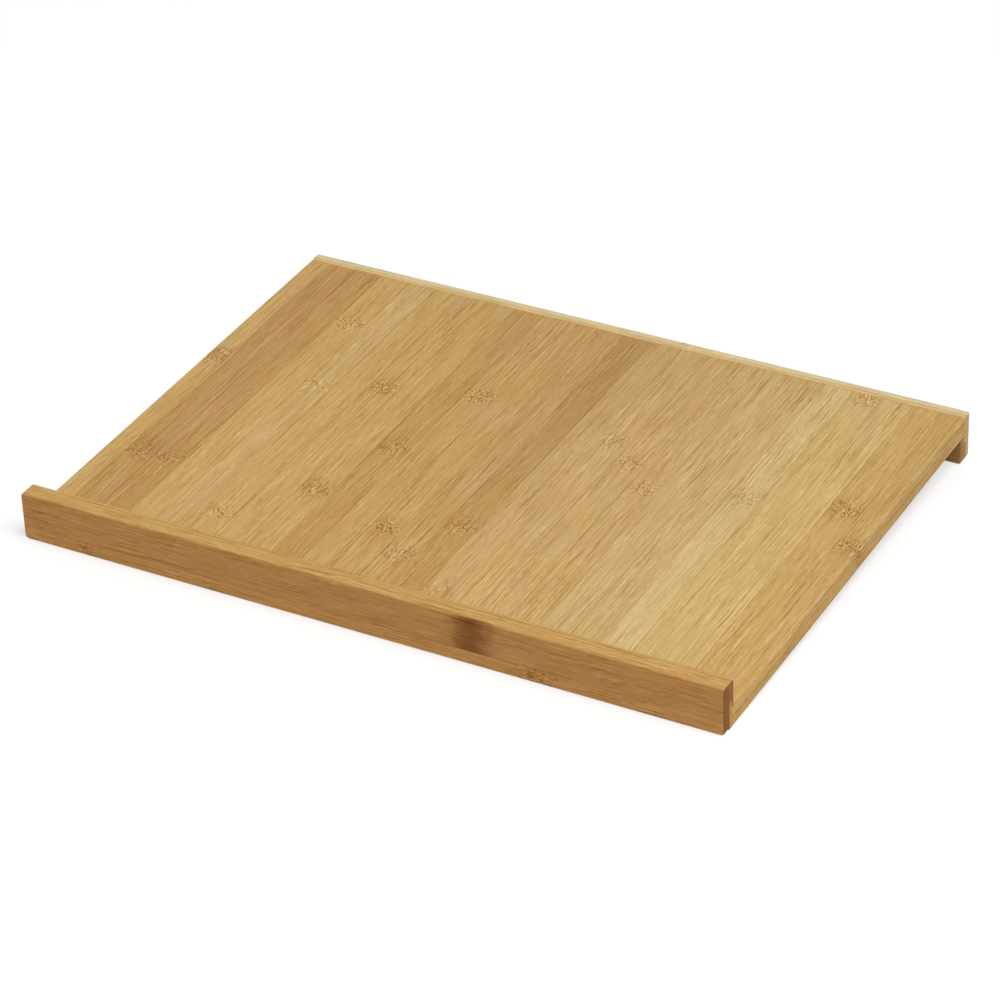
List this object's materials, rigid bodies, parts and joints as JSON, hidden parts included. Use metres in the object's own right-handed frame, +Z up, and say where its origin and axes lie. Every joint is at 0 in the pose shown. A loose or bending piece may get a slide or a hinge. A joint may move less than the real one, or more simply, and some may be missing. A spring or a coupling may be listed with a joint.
{
  "type": "cutting board",
  "caption": "Glued bamboo cutting board with a stop rail above its near edge and a hook rail below its far edge, to hang over a worktop's edge.",
  "frame": {"origin": "middle of the board's box, on the plane of the hook rail's foot", "axes": "+X along the rails, +Y from the stop rail to the hook rail, +Z up out of the panel's face"},
  "size_m": [0.45, 0.34, 0.048],
  "materials": {
    "panel_face": "oiled bamboo strips, satin",
    "panel_back": "oiled bamboo strips, satin",
    "stop_rail": "oiled bamboo strips, satin",
    "hook_rail": "oiled bamboo strips, satin"
  },
  "bodies": {
    "root": {"bottom_strip_01": "panel_back", "bottom_strip_02": "panel_back", "bottom_strip_03": "panel_back", "bottom_strip_04": "panel_back", "bottom_strip_05": "panel_back", "bottom_strip_06": "panel_back", "bottom_strip_07": "panel_back", "bottom_strip_08": "panel_back", "bottom_strip_09": "panel_back", "bottom_strip_10": "panel_back", "bottom_strip_11": "panel_back", "bottom_strip_12": "panel_back", "bottom_strip_13": "panel_back", "bottom_strip_14": "panel_back", "bottom_strip_15": "panel_back", "bottom_strip_16": "panel_back", "bottom_strip_17": "panel_back", "bottom_strip_18": "panel_back", "bottom_strip_19": "panel_back", "bottom_strip_20": "panel_back", "bottom_strip_21": "panel_back", "bottom_strip_22": "panel_back", "bottom_strip_23": "panel_back", "hook_rail_cap_strip": "hook_rail", "hook_rail_core_strip": "hook_rail", "hook_rail_lip_strip": "hook_rail", "hook_rail_narrow_strip": "hook_rail", "hook_rail_wide_strip": "hook_rail", "stop_rail_cap_strip": "stop_rail", "stop_rail_core_strip": "stop_rail", "stop_rail_lip_strip": "stop_rail", "stop_rail_narrow_strip": "stop_rail", "stop_rail_wide_strip": "stop_rail", "top_strip_01": "panel_face", "top_strip_02": "panel_face", "top_strip_03": "panel_face", "top_strip_04": "panel_face", "top_strip_05": "panel_face", "top_strip_06": "panel_face", "top_strip_07": "panel_face", "top_strip_08": "panel_face", "top_strip_09": "panel_face", "top_strip_10": "panel_face", "top_strip_11": "panel_face", "top_strip_12": "panel_face", "top_strip_13": "panel_face", "top_strip_14": "panel_face", "top_strip_15": "panel_face", "top_strip_16": "panel_face", "top_strip_17": "panel_face", "top_strip_18": "panel_face", "top_strip_19": "panel_face", "top_strip_20": "panel_face", "top_strip_21": "panel_face", "top_strip_22": "panel_face", "top_strip_23": "panel_face", "top_strip_24": "panel_face"}
  },
  "joints": []
}
